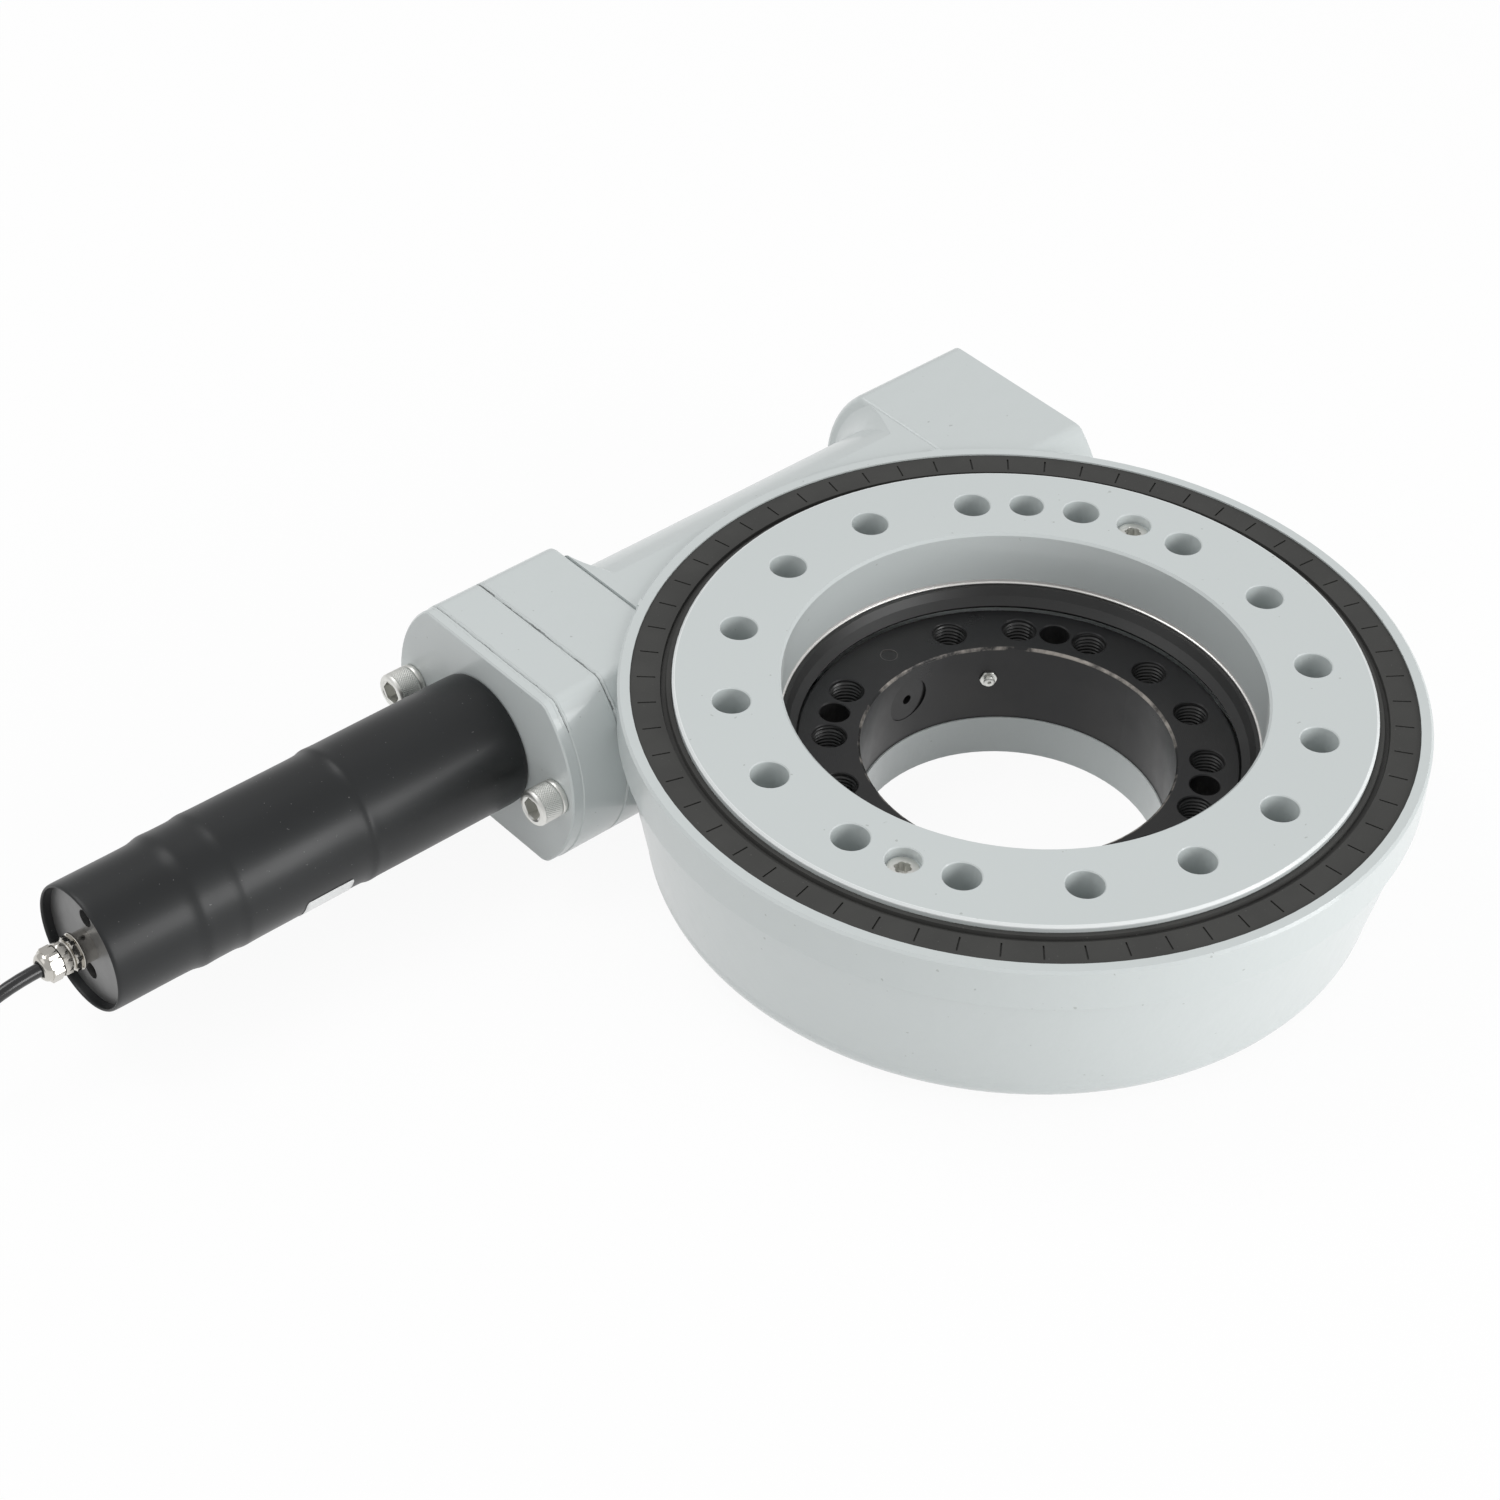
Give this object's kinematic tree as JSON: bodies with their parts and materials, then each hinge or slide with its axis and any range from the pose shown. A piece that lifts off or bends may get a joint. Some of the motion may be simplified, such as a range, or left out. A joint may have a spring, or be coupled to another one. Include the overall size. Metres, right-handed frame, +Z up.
{
  "type": "enclosed worm slew drive",
  "caption": "Enclosed worm slew drive: a bolted ring gear on a ball race in a round cast housing, driven by a side worm shaft with an inline planetary motor and cable.",
  "frame": {"origin": "on the slewing axis, in the mounting face under the housing", "axes": "+Z up along the slewing axis to the output ring, +X along the worm shaft away from the motor, the worm on the +Y side"},
  "size_m": [0.7962, 0.4506, 0.104],
  "materials": {
    "grey_paint": "gloss enamel over cast iron",
    "black_phosphate": "turned, black phosphate",
    "bearing_steel": "ground",
    "zinc_steel": "zinc plated",
    "seal_rubber": "matt",
    "motor_sleeve": "satin black sleeve over steel",
    "nickel": "nickel plated brass",
    "cable_black": "gloss",
    "nylon": "natural"
  },
  "bodies": {
    "base": {"housing": "grey_paint", "inner_ring": "black_phosphate", "ball_fill_plug": "black_phosphate", "fill_plug_pin": "black_phosphate", "grease_nipple": "zinc_steel", "inner_ring_screws": "zinc_steel", "dust_seal": "seal_rubber", "lower_seal": "seal_rubber", "near_bearing_cup": "bearing_steel", "far_bearing_cup": "bearing_steel", "end_cap": "grey_paint", "end_cap_screws": "zinc_steel", "motor_adapter": "grey_paint", "bearing_spacer": "bearing_steel", "shaft_seal": "seal_rubber", "motor_flange": "grey_paint", "flange_bolts": "zinc_steel", "flange_washers": "zinc_steel", "motor_case": "motor_sleeve", "motor_end_plate": "zinc_steel", "gland_body": "nickel", "gland_nut": "nickel", "cable": "cable_black", "cable_coil": "cable_black", "cable_connector": "cable_black"},
    "output_ring": {"ring_gear": "grey_paint", "port_plugs": "zinc_steel", "lip_seal": "seal_rubber"},
    "ball_set": {"race_balls": "bearing_steel", "ball_spacers": "nylon"},
    "worm": {"worm_shaft": "bearing_steel", "near_bearing_cone": "bearing_steel", "near_bearing_rollers": "bearing_steel", "far_bearing_cone": "bearing_steel", "far_bearing_rollers": "bearing_steel", "bearing_lock_nut": "black_phosphate", "motor_output_shaft": "bearing_steel", "shaft_key": "bearing_steel"}
  },
  "joints": [
    {"name": "ring_turn", "type": "hinge", "parent": "base", "child": "output_ring", "pos_m": [0, 0, 0], "axis": [0, 0, 1], "continuous": true},
    {"name": "worm_turn", "type": "hinge", "parent": "base", "child": "worm", "pos_m": [0, 0.1745, 0.0505], "axis": [1, 0, 0], "continuous": true},
    {"name": "ball_roll", "type": "hinge", "parent": "base", "child": "ball_set", "pos_m": [0, 0, 0], "axis": [0, 0, 1], "continuous": true}
  ],
  "couplings": [
    {"joint": "worm_turn", "follows": "ring_turn", "ratio": 61},
    {"joint": "ball_roll", "follows": "ring_turn", "ratio": 0.5}
  ]
}
